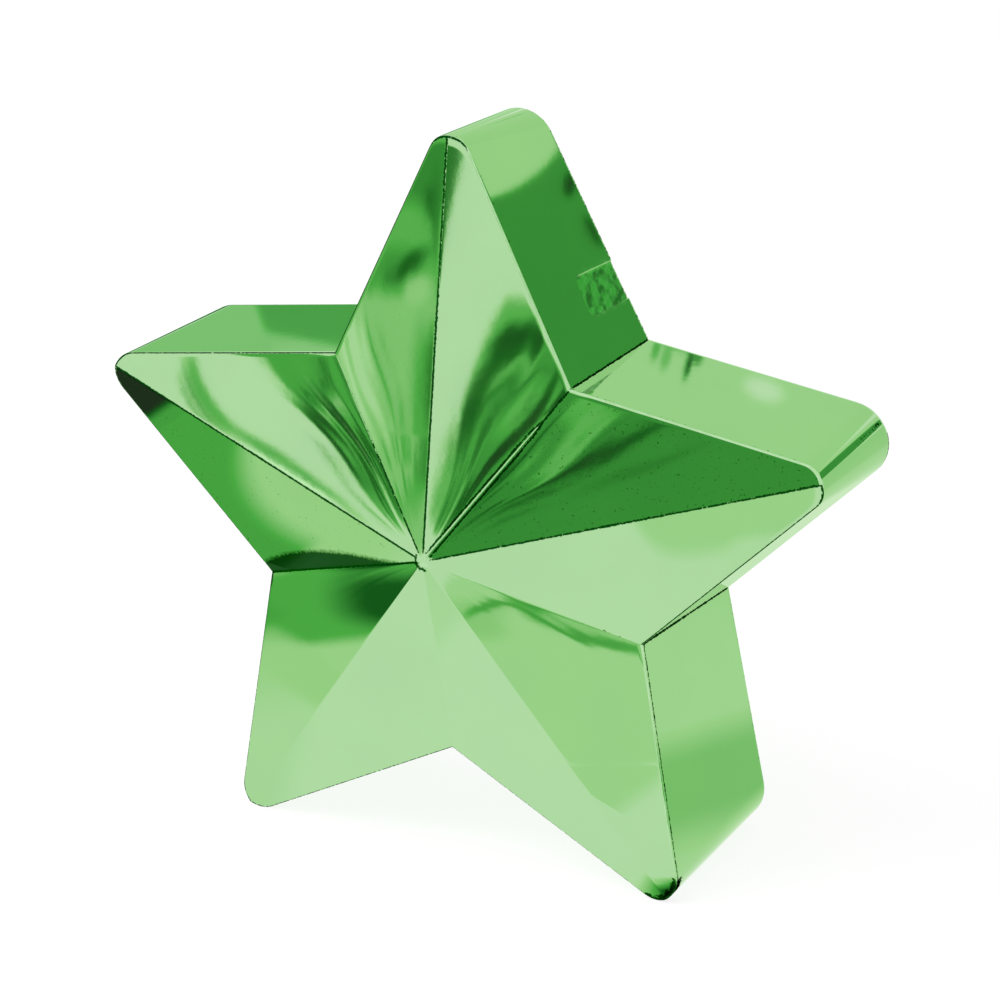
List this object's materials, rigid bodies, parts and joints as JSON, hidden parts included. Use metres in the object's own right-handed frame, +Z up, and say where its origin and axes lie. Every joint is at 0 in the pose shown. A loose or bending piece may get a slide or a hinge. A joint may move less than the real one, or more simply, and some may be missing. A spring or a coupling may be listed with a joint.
{
  "type": "balloon weight",
  "caption": "Free-standing star-shaped balloon weight: faceted mirror-plated shell over a cast ballast block, closed by a flat back cover, with a ribbon notch.",
  "frame": {"origin": "middle of the overall box, on the surface that the two lower points stand on", "axes": "+Z up through the top point, -Y out of the faceted front, +X to the right seen from the front"},
  "size_m": [0.1078, 0.0364, 0.1029],
  "materials": {
    "plated_shell": "polished",
    "plaster": "matte",
    "plated_cover": "satin",
    "hot_melt": "satin"
  },
  "bodies": {
    "root": {"front_shell": "plated_shell", "ballast": "plaster", "back_cover": "plated_cover", "glue_dots": "hot_melt"}
  },
  "joints": []
}
